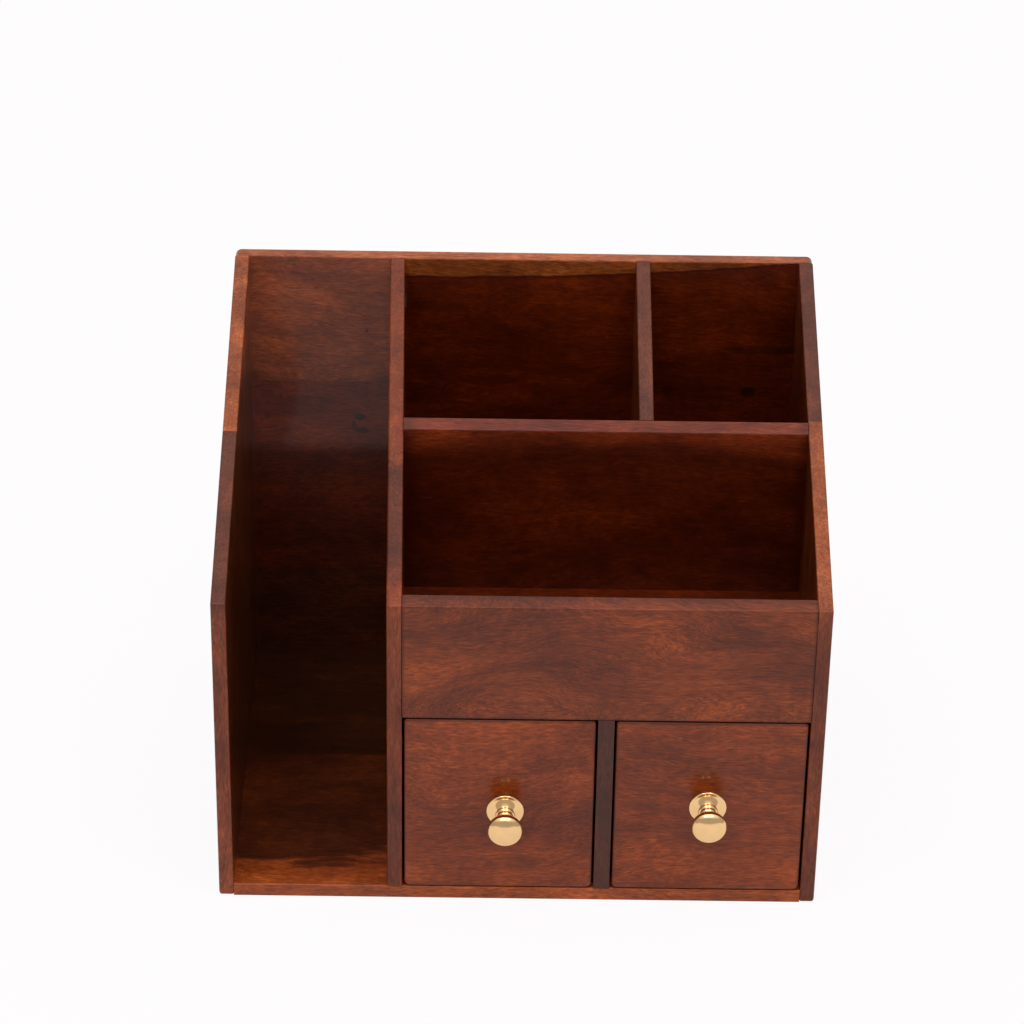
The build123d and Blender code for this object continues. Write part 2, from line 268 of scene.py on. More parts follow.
@dataclass(frozen=True)
class Patch:
    """A region coloured otherwise, with the same grain, soft-edged, in millimetres.
    It serves for stains and knots in the wood and for painted light and shade.

    It is an ellipsoid, or nearly a box where it is square.

    Attributes:
        centre: Its middle.
        reach: Its half sizes.
        stain: The colour in it.
        strength: How much of the stain takes.
        edge: How much of it the soft edge takes.
        wobble: How far the grain pulls the edge about.
        square: Whether it is nearly a box.
    """

    centre: Point
    reach: Point
    stain: Stain
    strength: float = 0.8
    edge: float = 0.6
    wobble: float = 0.9
    square: bool = False


@dataclass(frozen=True)
class PaintedLitBand:
    """Painted light along a board's upper edge, where a shallow bevel catches light from above, with a
    painted shadow line under it; its border a shallow curve in millimetres.
    """

    lowest: float = 243.3
    lowest_x: float = -50.0
    curvature: float = 0.000284
    # The lighter colour of the painted light.
    stain: Stain = Stain((0.165, 0.038, 0.006))
    strength: float = 0.9
    fray: float = 1.6
    # How strong the painted shadow line under the painted light is.
    line: float = 0.55


@dataclass(frozen=True)
class Weave:
    """One noise of the grain, stretched along the fibres.

    Attributes:
        across: How fine it is across the fibres.
        along: How fine it is along them.
        weight: How much it counts in the tone.
        detail: How many finer layers it has.
        rough: How strong those layers are.
        warp: How far it is distorted.
        seeding: How far the board's seed moves it along the fibres.
    """

    across: float
    along: float
    weight: float
    detail: float = 2.0
    rough: float = 0.65
    warp: float = 0.0
    seeding: float = 1.0


BROAD = Weave(32.0, 14.0, 1.15, 3.0, 0.55, seeding=3.0)
FIGURE = Weave(150.0, 15.0, 0.45, 3.0, 0.6, 0.3)
STREAKS = Weave(480.0, 52.0, 0.45)
FIBRES = Weave(1250.0, 170.0, 1.1, seeding=0.0)
MOTTLE = Weave(85.0, 110.0, 0.4, 3.0, 0.6, 0.4)


@dataclass(frozen=True)
class PaintedEdgeShade:
    """Painted shade along a board's outline, seen from the front, where its edges and joints fall into shade.

    Attributes:
        node: The board whose outline it follows.
        width: How far in from the outline it fades, in millimetres.
        strength: How dark it gets.
        axes: The axes across which the outline gets painted shade, 0 for its ends and 2 for its top and
            bottom.
    """

    node: str
    width: float
    strength: float
    axes: tuple[int, ...] = (0, 2)


@dataclass(frozen=True)
class Lacquer:
    """Stained hardwood under a hand-rubbed lacquer.

    The fibres, streaks, mottling and broad tone come from noise stretched along
    the grain, after a slow drift that makes the grain wander. Patches, painted
    light along the upper edge and painted shade along the outline go over it.
    """

    name: str
    grain: Grain
    stain: Stain = Stain()
    seed: float = 0.0
    wander: float = 1.0
    roughness: float = 0.30
    coat: float = 0.32
    patches: tuple[Patch, ...] = ()
    # Painted light along the upper edge, with a painted shadow line under it.
    lit_band: PaintedLitBand | None = None
    # Painted shade along the board's outline.
    rim: PaintedEdgeShade | None = None

    drift: Weave = Weave(9.0, 5.0, 0.055, rough=0.5)
    ripple: Weave = Weave(45.0, 30.0, 0.006, rough=0.5)
    pore: Weave = Weave(1500.0, 150.0, 0.5, 1.0, 0.5, seeding=0.0)
    pore_gap: tuple[float, float] = (0.60, 0.72)
    stops: tuple[float, ...] = (-1.0, -0.4, 0.0, 0.4, 1.0)
    stop_reach: float = 0.42
    pore_shade: float = -1.8
    # How deep the painted shade along the outline and the painted shadow line under the painted light band
    # are.
    edge_shade_depth: float = -2.2
    shadow_line_depth: float = -1.6
    coat_roughness: float = 0.08
    specular: float = 0.16
    bump_strength: float = 0.12
    bump_distance: float = 0.0004

    def layer(self, graph: Graph, tone: Wire, stain: Stain) -> Wire:
        """The grain in one stain.

        Args:
            graph: The material's graph.
            tone: The grain's tone, 0 dark to 1 light.
            stain: The stain that it is seen through.

        Returns:
            The colour.
        """
        stops = [(0.5 + self.stop_reach * strength, stain.shade(strength)) for strength in self.stops]
        return graph.ramp(tone, stops)

    def woven(self, graph: Graph, weave: Weave, place: tuple[Wire, Wire, Wire]) -> Wire:
        """One noise of the grain.

        Args:
            graph: The material's graph.
            weave: How the noise is stretched.
            place: The place as side, rise and along the fibres.

        Returns:
            The noise, from 0 to 1.
        """
        side, rise, along = place
        if weave.seeding:
            along = along * weave.along + self.seed * weave.seeding
        else:
            along = along * weave.along
        where = graph.join(side * weave.across, rise * weave.across, along)
        return graph.noise(where, 1.0, weave.detail, weave.rough, weave.warp)

    def wandering(self, graph: Graph, places: tuple[Wire, Wire, Wire]) -> tuple[Wire, Wire, Wire]:
        """The place as side, rise and along the fibres, after the grain's drift.

        Args:
            graph: The material's graph.
            places: Object coordinates.

        Returns:
            The three wires.
        """
        along = places[self.grain.value]
        side, rise = (wire for number, wire in enumerate(places) if number != self.grain.value)
        slow_side = side + self.seed / self.drift.across
        slow = self.woven(graph, self.drift, (slow_side, rise, along)) - 0.5
        quick = self.woven(graph, self.ripple, (side, rise, along)) - 0.5
        drift, ripple = slow * (self.drift.weight * self.wander), quick * self.ripple.weight
        return side + drift + ripple + self.seed, rise + drift + ripple, along

    def lit_banded(self, graph: Graph, colour: Wire, tone: Wire, places: Sequence[Wire], streaks: Wire) -> Wire:
        """Lay the painted light band, with a painted shadow line under it, over the colour.

        Args:
            graph: The material's graph.
            colour: The colour so far.
            tone: The grain's tone.
            places: Object coordinates.
            streaks: The noise that frays the border.

        Returns:
            The colour with the painted light band.
        """
        border = places[0] - self.lit_band.lowest_x * MM
        border = border * border * (self.lit_band.curvature / MM) + self.lit_band.lowest * MM
        above = (places[2] - border) * (1 / MM) + (streaks - 0.5) * self.lit_band.fray
        # The lighter colour of the painted light band.
        lit_colour = self.layer(graph, tone, self.lit_band.stain)
        colour = graph.mix(above.step(-0.5, 0.7) * self.lit_band.strength, colour, lit_colour)
        # The painted shadow line just under the painted light band.
        line = above.step(-1.8, -0.6) * above.step(0.3, -0.6)
        return graph.mix(line * self.lit_band.line, colour, self.stain.shade(self.shadow_line_depth))

    def patched(self, graph: Graph, colour: Wire, tone: Wire, places: Sequence[Wire], figure: Wire) -> Wire:
        """Lay the patches over the colour.

        Args:
            graph: The material's graph.
            colour: The colour so far.
            tone: The grain's tone.
            places: Object coordinates.
            figure: The noise that pulls the patches' edges about.

        Returns:
            The colour with the patches.
        """
        for patch in self.patches:
            spread = 0.0
            for axis, wire in enumerate(places):
                offset = (wire - patch.centre[axis] * MM) / (patch.reach[axis] * MM)
                squared = offset * offset
                spread = (squared * squared if patch.square else squared) + spread
            mask = (spread + (figure - 0.5) * patch.wobble).step(1.0, 1.0 - patch.edge)
            colour = graph.mix(mask * patch.strength, colour, self.layer(graph, tone, patch.stain))
        return colour

    def edge_shaded(self, graph: Graph, colour: Wire, places: Sequence[Wire], mottle: Wire) -> Wire:
        """Paint shade along the board's outline.

        Args:
            graph: The material's graph.
            colour: The colour so far.
            places: Object coordinates.
            mottle: The noise that makes the painted shade uneven.

        Returns:
            The colour with painted shade along its outline.
        """
        low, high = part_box(self.rim.node)
        width = self.rim.width * MM
        for axis in self.rim.axes:
            inset = abs(places[axis] - (low[axis] + high[axis]) / 2)
            margin = inset - ((high[axis] - low[axis]) / 2 - width) + (mottle - 0.5) * width
            # Painted shade, deepest at the outline.
            edge_shade = margin.step(0.0, width) * self.rim.strength
            colour = graph.mix(edge_shade, colour, self.stain.shade(self.edge_shade_depth))
        return colour

    def material(self) -> bpy.types.Material:
        """Build the material.

        Returns:
            The finished material.
        """
        graph = Graph(self.name)
        places = graph.place()
        grain = self.wandering(graph, places)
        weaves = (BROAD, FIGURE, STREAKS, FIBRES, MOTTLE)
        noises = [self.woven(graph, weave, grain) for weave in weaves]
        _, figure, streaks, fibres, mottle = noises
        tone = 0.5
        for weave, noise in zip(weaves, noises):
            tone = (noise - 0.5) * weave.weight + tone
        tone = tone.clamp()
        colour = self.layer(graph, tone, self.stain)
        # Painted light band along the upper edge, with its painted shadow line.
        if self.lit_band:
            colour = self.lit_banded(graph, colour, tone, places, streaks)
        colour = self.patched(graph, colour, tone, places, figure)
        # Painted shade along the outline.
        if self.rim:
            colour = self.edge_shaded(graph, colour, places, mottle)
        pores = self.woven(graph, self.pore, grain).step(*self.pore_gap)
        colour = graph.mix(pores * self.pore.weight, colour, self.stain.shade(self.pore_shade))
        smear = graph.noise(graph.join(*places), 35.0, 3.0, 0.6)
        rough = smear * 0.12 + (self.roughness - 0.06) + pores * 0.08
        height = (fibres - 0.5) * 0.5 + (smear - 0.5) * 0.3 - pores * 0.5
        relief = {"Strength": self.bump_strength, "Distance": self.bump_distance, "Height": height}
        graph.set(
            Base_Color=colour, Roughness=rough, Normal=graph.node("ShaderNodeBump", {}, relief),
            Coat_Weight=self.coat, Coat_Roughness=self.coat_roughness, Specular_IOR_Level=self.specular,
        )
        return graph.material


@dataclass(frozen=True)
class PolishedBrass:
    """Turned and lacquered brass with faint lathe lines."""

    name: str = "polished_brass"
    colour: Colour = (0.93, 0.60, 0.29)
    dulling: float = 0.86
    bump_strength: float = 0.05
    bump_distance: float = 0.0002

    def material(self) -> bpy.types.Material:
        """Build the material."""
        graph = Graph(self.name)
        places = graph.place()
        cloud = graph.noise(graph.join(*places), 260.0, 3.0, 0.6)
        lines = graph.noise(graph.join(places[0] * 20.0, places[1] * 2600.0, places[2] * 20.0), 1.0, 2.0, 0.5)
        darker = tuple(self.dulling * part for part in self.colour)
        colour = graph.mix(cloud, self.colour, darker)
        height = (lines - 0.5) * 0.5 + (cloud - 0.5) * 0.6
        relief = {"Strength": self.bump_strength, "Distance": self.bump_distance, "Height": height}
        bump = graph.node("ShaderNodeBump", {}, relief)
        graph.set(Base_Color=colour, Metallic=1.0, Roughness=cloud * 0.08 + 0.10, Normal=bump)
        return graph.material


@dataclass(frozen=True)
class PlainSteel:
    """Screws and pins."""

    name: str = "plain_steel"
    colour: Colour = (0.30, 0.28, 0.26)
    dulling: float = 0.6

    def material(self) -> bpy.types.Material:
        """Build the material."""
        graph = Graph(self.name)
        cloud = graph.noise(graph.join(*graph.place()), 700.0, 2.0, 0.6)
        colour = graph.mix(cloud, self.colour, tuple(self.dulling * part for part in self.colour))
        graph.set(Base_Color=colour, Metallic=1.0, Roughness=cloud * 0.2 + 0.30)
        return graph.material


# --------------------------------------------------------------------------- meshes
def object_of(mesh_maker: bmesh.types.BMesh, name: str, material: bpy.types.Material) -> bpy.types.Object:
    """Turn a bmesh into an object with one material.

    Args:
        mesh_maker: The shape, freed here.
        name: The piece's name.
        material: Its finish.

    Returns:
        The object, in the scene, at the origin.
    """
    mesh = bpy.data.meshes.new(name)
    mesh_maker.to_mesh(mesh)
    mesh_maker.free()
    mesh.materials.append(material)
    piece = bpy.data.objects.new(name, mesh)
    bpy.context.scene.collection.objects.link(piece)
    return piece


def merged(node: str) -> bmesh.types.BMesh:
    """A copy of a CAD node's mesh with its loose triangles joined.

    Args:
        node: The node's name.

    Returns:
        The shape.
    """
    shape = bmesh.new()
    shape.from_mesh(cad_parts[node].data)
    bmesh.ops.remove_doubles(shape, verts=shape.verts, dist=MERGE_DISTANCE)
    return shape


def repaint(node: str, material: bpy.types.Material) -> None:
    """Give a CAD node's own mesh a finish."""
    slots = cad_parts[node].data.materials
    slots.clear()
    slots.append(material)


def shade_by_angle(shape: bmesh.types.BMesh, degrees: float) -> None:
    """Shade smooth, with hard edges where two faces meet at more than an angle."""
    for face in shape.faces:
        face.smooth = True
    for edge in shape.edges:
        if len(edge.link_faces) == 2:
            edge.smooth = edge.calc_face_angle(0.0) < math.radians(degrees)


@dataclass(frozen=True)
class Skew:
    """How far the bay divider stands out of square, and the board ends that follow it.

    Its back end is further left than its front end, in millimetres.
    """

    back_shift: float = 4.2
    end_reach: float = 1.0

    def apply(self, shape: bmesh.types.BMesh, whole: bool) -> None:
        """Shift a board's points to the left by their depth.

        Args:
            shape: The board.
            whole: True for the divider itself, False for boards that end at it.
        """
        low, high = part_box("bay_divider")
        limit = math.inf if whole else high[0] + self.end_reach * MM
        for vert in shape.verts:
            if vert.co.x < limit:
                vert.co.x -= self.back_shift * MM * (vert.co.y - low[1]) / (high[1] - low[1])


@dataclass(frozen=True)
class WornFoot:
    """The case's outer bottom edges at the sides, sanded rounder than its other arrises.

    Attributes:
        radius: Their radius in millimetres.
        cuts: Where the mesh is cut to take the curve, as parts of the radius.
        touching: How near a cut a point may lie to belong to it, in metres.
    """

    radius: float = 3.0
    cuts: tuple[float, ...] = (1.0, 0.6, 0.3)
    touching: float = 1e-7

    def apply(self, shape: bmesh.types.BMesh, sign: int) -> None:
        """Round the edge where the case's outer face meets its underside.

        Args:
            shape: The board.
            sign: 1 for the case's right side, -1 for its left side.
        """
        low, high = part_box("back_lower_board")
        reach = (high[0] - low[0]) / 2
        radius = self.radius * MM
        for cut in self.cuts:
            level = (0, 0, radius * cut), (0, 0, 1)
            upright = (sign * (reach - radius * cut), 0, 0), (1, 0, 0)
            for place, normal in (level, upright):
                parts = shape.verts[:] + shape.edges[:] + shape.faces[:]
                bmesh.ops.bisect_plane(
                    shape, geom=parts, dist=self.touching, plane_co=place, plane_no=normal
                )
        centre = Vector((reach - radius, radius))
        for vert in shape.verts:
            away = Vector((sign * vert.co.x, vert.co.z)) - centre
            if away.x > 0 and away.y < 0 and away.length > radius:
                away = away.normalized() * radius + centre
                vert.co.x, vert.co.z = sign * away.x, away.y


@dataclass
class Board:
    """One board: the CAD solid's own shape, merged, cleaned and smoothly shaded.

    Attributes:
        node: The CAD node that it stands for.
        finish: Its lacquer.
        body: The body that it rides on.
        crease: The angle in degrees above which an edge is hard.
        flat: The angle in degrees below which two faces are one.
        most_corners: The most corners that a face keeps.
    """

    node: str
    finish: Lacquer
    body: str = "case"
    crease: float = 38.0
    flat: float = 0.4
    most_corners: int = 4

    def build(self) -> bpy.types.Object:
        """Make the piece, ride it and hide the node."""
        shape = merged(self.node)
        bmesh.ops.dissolve_limit(
            shape, angle_limit=math.radians(self.flat), verts=shape.verts, edges=shape.edges,
            use_dissolve_boundaries=False,
        )
        many_sided = [face for face in shape.faces if len(face.verts) > self.most_corners]
        bmesh.ops.triangulate(shape, faces=many_sided)
        if self.node in ("bay_divider", "front_apron", "tray_floor", "cross_partition"):
            Skew().apply(shape, self.node == "bay_divider")
        for sign, side in ((-1, "left_side"), (1, "right_side")):
            if self.node.startswith((side, "back_lower")):
                WornFoot().apply(shape, sign)
        shade_by_angle(shape, self.crease)
        piece = object_of(shape, f"{self.node}_dressed", self.finish.material())
        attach(piece, self.body)
        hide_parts(self.node)
        log.info("board %s", self.node)
        return piece


# --------------------------------------------------------------------- sub-assemblies
@dataclass
class Case:
    """The boards of the case, each with the colour and figure that it has."""

    orange: Stain = Stain((0.230, 0.050, 0.012), 1.2)
    heart: Stain = Stain((0.095, 0.020, 0.007), 1.0)
    deep: Stain = Stain((0.070, 0.0075, 0.0004), 1.2)
    dark_spot: Stain = Stain((0.016, 0.004, 0.001), 0.6)

    def shaded_inner_face(self, x: float, stain: Stain) -> Patch:
        """Painted shade on the inner face of a side panel, which makes it darker than the panel's other
        faces.
        """
        return Patch((x, 0.0, 110.0), (1.6, 118.0, 128.0), stain, 0.85, wobble=0.1, square=True)

    def front_edge(self, x: float, stain: Stain) -> Patch:
        """The upright front edge of a side panel."""
        return Patch((x, -114.5, 80.0), (9.0, 2.4, 104.0), stain, 0.85, square=True)

    def back_boards(self) -> list[Board]:
        """The back's three boards, deep red, with painted light on them in the open letter bay."""
        across, face = Grain.ACROSS, 106.5
        # Painted light on the back's upper board where light falls into the open letter bay.
        bay_painted_light = Patch(
            (-108.0, face, 226.0), (48.0, 7.0, 54.0), Stain((0.215, 0.040, 0.008)), 0.8, 0.7, square=True
        )
        # Painted light on the back's middle board in the open letter bay.
        bay_middle_painted_light = Patch(
            (-108.0, face, 165.0), (46.0, 7.0, 34.0), Stain((0.150, 0.017, 0.0015)), 0.85, 0.9, square=True
        )
        # Painted shade: the lowest back board stained darkest, low in the compartments.
        lowest_board_shade = Stain((0.054, 0.008, 0.0003))
        knots = (
            Patch((-87.2, face, 156.4), (3.4, 3.0, 2.6), self.dark_spot, 0.9),
            Patch((-86.2, face, 148.3), (4.6, 3.0, 2.2), self.dark_spot, 0.8),
            Patch((-90.5, face, 151.5), (1.6, 3.0, 3.8), self.dark_spot, 0.7),
            Patch((121.9, face, 175.2), (5.0, 3.0, 3.6), self.dark_spot, 0.9),
            Patch((78.2, face, 175.8), (4.2, 3.0, 3.0), self.dark_spot, 0.5),
        )
        marks_and_lit_top = (
            Patch((-83.2, face, 209.6), (1.1, 2.0, 1.1), self.dark_spot, 0.85, wobble=0.2),
            Patch((128.7, face, 201.2), (22.0, 4.0, 3.2), self.dark_spot, 0.6),
            # Painted light: the back's top edge made lighter where the overhead light falls on it.
            Patch(
                (0.0, face + 4.0, 254.0), (170.0, 5.0, 1.4), Stain((0.330, 0.078, 0.022)), 0.9,
                wobble=0.1, square=True,
            ),
        )
        return [
            Board("back_lower_board", Lacquer("back_lower", across, lowest_board_shade, 7.7)),
            Board("back_middle_board", Lacquer(
                "back_middle", across, self.deep, 8.2, patches=(bay_middle_painted_light, *knots),
            )),
            Board("back_upper_board", Lacquer(
                # Painted light in the letter bay and on the top edge, and the painted light band with its
                # painted shadow line.
                "back_upper", across, self.deep, 9.6, patches=(bay_painted_light, *marks_and_lit_top), lit_band=PaintedLitBand(),
            )),
        ]

    def side_boards(self) -> list[Board]:
        """The side panels' four boards, with painted shade on their inner faces."""
        upright = Grain.UPRIGHT
        # Painted shade on the panels' inner faces.
        left = self.shaded_inner_face(-144.2, Stain((0.054, 0.0130, 0.0016)))
        right = self.shaded_inner_face(144.2, Stain((0.052, 0.0085, 0.0010)))
        left_edge = self.front_edge(-149.0, Stain((0.190, 0.036, 0.008)))
        right_edge = self.front_edge(149.0, Stain((0.135, 0.022, 0.004)))
        return [
            Board("left_side_front_board", Lacquer(
                "left_front", upright, self.heart, 2.2, patches=(left, left_edge),
            )),
            Board("left_side_rear_board", Lacquer("left_rear", upright, self.orange, 3.7, patches=(left,))),
            Board("right_side_front_board", Lacquer(
                "right_front", upright, self.orange, 5.9, patches=(right, right_edge),
            )),
            Board("right_side_rear_board", Lacquer("right_rear", upright, self.heart, 6.4, patches=(right,))),
        ]

    def inside_boards(self) -> list[Board]:
        """Base, tray floor, partitions, dividers and apron."""
        across, deep, upright = Grain.ACROSS, Grain.DEEP, Grain.UPRIGHT
        # Painted shade on the letter bay's floor, deep between its walls.
        bay_floor_shade = Patch(
            (-108.0, -40.0, 7.5), (60.0, 60.0, 3.0), Stain((0.031, 0.0044, 0.0003), 1.6), 0.85,
            wobble=1.6, square=True,
        )
        # Painted shade on the partition's front face, inside the front compartment.
        partition_face_shade = Patch(
            (42.5, -6.0, 150.0), (130.0, 4.5, 64.5), Stain((0.050, 0.0053, 0.0002), 1.2), 0.92,
            wobble=0.1, square=True,
        )
        divider_heart = Patch(
            (-62.0, -115.0, 34.0), (12.0, 12.0, 27.0), Stain((0.085, 0.015, 0.004)), 0.75, square=True
        )
        divider_low = Patch((-64.0, -64.0, 196.0), (14.0, 60.0, 24.0), Stain((0.070, 0.012, 0.003)), 0.9)
        return [
            Board("base_front_board", Lacquer(
                "base_front", across, Stain((0.280, 0.052, 0.008)), 1.3, patches=(bay_floor_shade,),
            )),
            Board("base_rear_board", Lacquer("base_rear", across, Stain((0.046, 0.009, 0.0009)), 4.1)),
            Board("bay_divider", Lacquer(
                "divider", upright, Stain((0.165, 0.028, 0.005)), 11.3, patches=(divider_heart, divider_low),
            )),
            Board("front_apron", Lacquer(
                "apron", across, Stain((0.155, 0.0245, 0.0025), 1.25), 12.8, 2.6,
                # Painted shade along the apron's outline.
                rim=PaintedEdgeShade("front_apron", 1.8, 0.55),
            )),
            Board("tray_floor", Lacquer("tray_floor", across, self.deep, 13.1)),
            Board("cross_partition", Lacquer(
                "partition", across, Stain((0.130, 0.017, 0.003)), 14.9, patches=(partition_face_shade,),
                # Painted shade at the partition's ends, where it meets the side panels.
                rim=PaintedEdgeShade("cross_partition", 7.0, 0.5, (0,)),
            )),
            Board("pen_divider", Lacquer("pen_divider", deep, self.heart, 15.6)),
            Board("drawer_partition", Lacquer("post", upright, Stain((0.072, 0.016, 0.006), 0.8), 16.2)),
        ]

    def boards(self) -> list[Board]:
        """All boards of the case in building order."""
        return self.side_boards() + self.back_boards() + self.inside_boards()

    def build(self) -> None:
        """Make and dress all boards of the case, and its pins."""
        for board in self.boards():
            board.build()
        repaint("case_pins", PlainSteel("case_pin_steel").material())


@dataclass
class Drawer:
    """One drawer box with its knob and fasteners.

    Attributes:
        side: left or right.
        seed: Where its wood is taken from the pattern.
        bare: The unstained wood behind its front.
        seed_step: How far apart the seeds of its hidden boards are.
        head_reach: How deep in the front a point may lie to belong to a pin's head, in millimetres.
        filler_dip: How deep the filled heads lie, in millimetres.
        crease: The angle in degrees above which a pin's edge is hard.
    """

    side: str
    seed: float
    bare: Stain = Stain((0.210, 0.085, 0.042), 0.8)
    seed_step: float = 2.3
    head_reach: float = 1.0
    filler_dip: float = 0.01
    crease: float = 40.0

    def build(self) -> None:
        """Make and dress the drawer."""
        body = f"{self.side}_drawer"
        # Painted shade along the drawer front's outline.
        rim = PaintedEdgeShade(f"{body}_front", 1.7, 0.75)
        front = Lacquer(f"{self.side}_front", Grain.ACROSS, Stain(), self.seed, rim=rim)
        dressed = Board(f"{body}_front", front, body).build()
        hidden = {
            "left_side": Grain.DEEP, "right_side": Grain.DEEP, "back": Grain.ACROSS, "bottom": Grain.ACROSS,
        }
        for number, (part, grain) in enumerate(hidden.items()):
            seed = self.seed + self.seed_step * number + 1
            finish = Lacquer(f"{self.side}_{part}", grain, self.bare, seed, roughness=0.5, coat=0.05)
            Board(f"{body}_{part}", finish, body).build()
        self.fill_pins(dressed.data.materials[0])
        repaint(f"{self.side}_knob_screw", PlainSteel(f"{self.side}_steel").material())
        Knob(self.side).build()

    def fill_pins(self, material: bpy.types.Material) -> None:
        """Bring the pins' heads up to the front's face, filled and stained like it.

        Args:
            material: The front's own finish.
        """
        body = f"{self.side}_drawer"
        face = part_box(f"{body}_front")[0][1]
        shape = merged(f"{body}_pins")
        for vert in shape.verts:
            if vert.co.y < face + self.head_reach * MM:
                vert.co.y = face + self.filler_dip * MM
        shade_by_angle(shape, self.crease)
        piece = object_of(shape, f"{body}_pins_filled", material)
        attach(piece, body)
        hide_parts(f"{body}_pins")


@dataclass
class Knob:
    """A turned brass knob: flange, collar, bead and a domed head on one axis.

    Sizes are in millimetres, from the drawer front outwards.
    """

    side: str
    flange_radius: float = 9.5
    collar_radius: float = 4.7
    groove_radius: float = 4.05
    bead_radius: float = 4.85
    head_radius: float = 8.9
    face_radius: float = 7.4
    bore_radius: float = 2.05
    bore_depth: float = 8.8
    rim: float = 0.9
    collar_low: float = 3.0
    collar_high: float = 5.2
    bead_low: float = 7.0
    bead_high: float = 9.2
    throat_end: float = 10.3
    widest: float = 17.7
    rim_radius: float = 0.7
    face_edge: float = 19.7
    face_top: float = 21.6
    rim_turn: float = 28.0
    shoulder_bulge: float = 0.12
    turns: int = 96
    crease: float = 50.0

    def profile(self) -> list[tuple[float, float]]:
        """Points of the half section, radius and distance out, from the bore's end round to the face."""
        return self.stem() + self.head()

    def stem(self) -> list[tuple[float, float]]:
        """The bore, flange, collar, groove and bead, up to the throat."""
        flange, groove = self.flange_radius, self.groove_radius
        points = [(0.0, self.bore_depth), (self.bore_radius, self.bore_depth), (self.bore_radius, 0.0)]
        points += [(flange - 0.25, 0.0), (flange, 0.25), (flange, self.rim - 0.3), (flange - 0.3, self.rim)]
        sweep = 9
        for step in range(1, sweep):
            part = step / sweep
            radius = flange - 0.3 + (self.collar_radius - flange + 0.3) * part
            points.append((radius, self.rim + (self.collar_low - self.rim) * part ** 1.9))
        points += self.arc(self.collar_radius, self.collar_low, self.collar_high, 0.3, 7)
        points += [(groove + 0.1, self.collar_high + 0.25), (groove, self.collar_high + 0.6)]
        points += self.arc(groove, self.bead_low, self.bead_high, self.bead_radius - groove, 9)
        return points + [(groove, self.throat_end - 0.4)]

    def head(self) -> list[tuple[float, float]]:
        """The head's hollow back, rim, shoulder and domed face, from the throat to the axis."""
        points = []
        back, reach = self.widest - self.throat_end, self.head_radius - self.groove_radius
        curve = (back * back + reach * reach) / (2 * reach)
        back_steps, rim_steps, shoulder_steps, dome_steps = 15, 5, 7, 14
        for step in range(back_steps):
            height = self.throat_end + back * step / back_steps
            drop = curve - math.sqrt(curve * curve - (self.widest - height) ** 2)
            points.append((self.head_radius - drop, height))
        rim_centre = self.head_radius - self.rim_radius
        for step in range(rim_steps + 1):
            turn = math.radians(self.rim_turn) * step / rim_steps
            radius = rim_centre + self.rim_radius * math.cos(turn)
            points.append((radius, self.widest + self.rim_radius * math.sin(turn)))
        start_radius, start_height = points[-1]
        for step in range(1, shoulder_steps + 1):
            part = step / shoulder_steps
            bulge = self.shoulder_bulge * math.sin(math.pi * part)
            radius = start_radius + (self.face_radius - start_radius) * part + bulge
            points.append((radius, start_height + (self.face_edge - start_height) * part + bulge))
        dome = self.face_top - self.face_edge
        ball = (self.face_radius ** 2 + dome * dome) / (2 * dome)
        for step in range(1, dome_steps + 1):
            radius = self.face_radius * (1 - step / dome_steps)
            points.append((radius, self.face_top - ball + math.sqrt(ball * ball - radius * radius)))
        return points

    @staticmethod
    def arc(radius: float, low: float, high: float, swell: float, count: int) -> list[tuple[float, float]]:
        """A half-round bead between two heights, standing out by swell."""
        return [
            (radius + swell * math.sin(math.pi * step / (count - 1)), low + (high - low) * step / (count - 1))
            for step in range(count)
        ]

    def build(self) -> bpy.types.Object:
        """Spin the section into the knob and put it in the CAD knob's place."""
        low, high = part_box(f"{self.side}_knob")
        centre_x, centre_z = (low[0] + high[0]) / 2, (low[2] + high[2]) / 2
        front = high[1]
        shape = bmesh.new()
        verts = [
            shape.verts.new((centre_x + radius * MM, front - out * MM, centre_z))
            for radius, out in self.profile()
        ]
        edges = [shape.edges.new(pair) for pair in zip(verts, verts[1:])]
        bmesh.ops.spin(
            shape, geom=verts + edges, cent=(centre_x, front, centre_z), axis=(0, 1, 0), dvec=(0, 0, 0),
            angle=math.tau, steps=self.turns, use_merge=True, use_duplicate=False,
        )
        bmesh.ops.remove_doubles(shape, verts=shape.verts, dist=LATHE_MERGE_DISTANCE)
        bmesh.ops.recalc_face_normals(shape, faces=shape.faces)
        shade_by_angle(shape, self.crease)
        piece = object_of(shape, f"{self.side}_knob_turned", PolishedBrass(f"{self.side}_brass").material())
        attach(piece, f"{self.side}_drawer")
        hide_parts(f"{self.side}_knob")
        log.info("knob %s", self.side)
        return piece


@dataclass(frozen=True)
class SoftBox:
    """A square or oblong lamp.

    Attributes:
        name: Its name.
        place: Where it hangs, in metres.
        aim: The point that it faces.
        size: Its width and height.
        power: Its strength in watts.
    """

    name: str
    place: Point
    aim: Point
    size: tuple[float, float]
    power: float

    def build(self) -> None:
        """Hang the lamp."""
        data = bpy.data.lights.new(self.name, "AREA")
        data.shape = "RECTANGLE"
        data.size, data.size_y = self.size
        data.energy = self.power
        lamp = bpy.data.objects.new(self.name, data)
        bpy.context.scene.collection.objects.link(lamp)
        lamp.location = self.place
        towards = Vector(self.aim) - Vector(self.place)
        lamp.rotation_euler = towards.to_track_quat("-Z", "Y").to_euler()


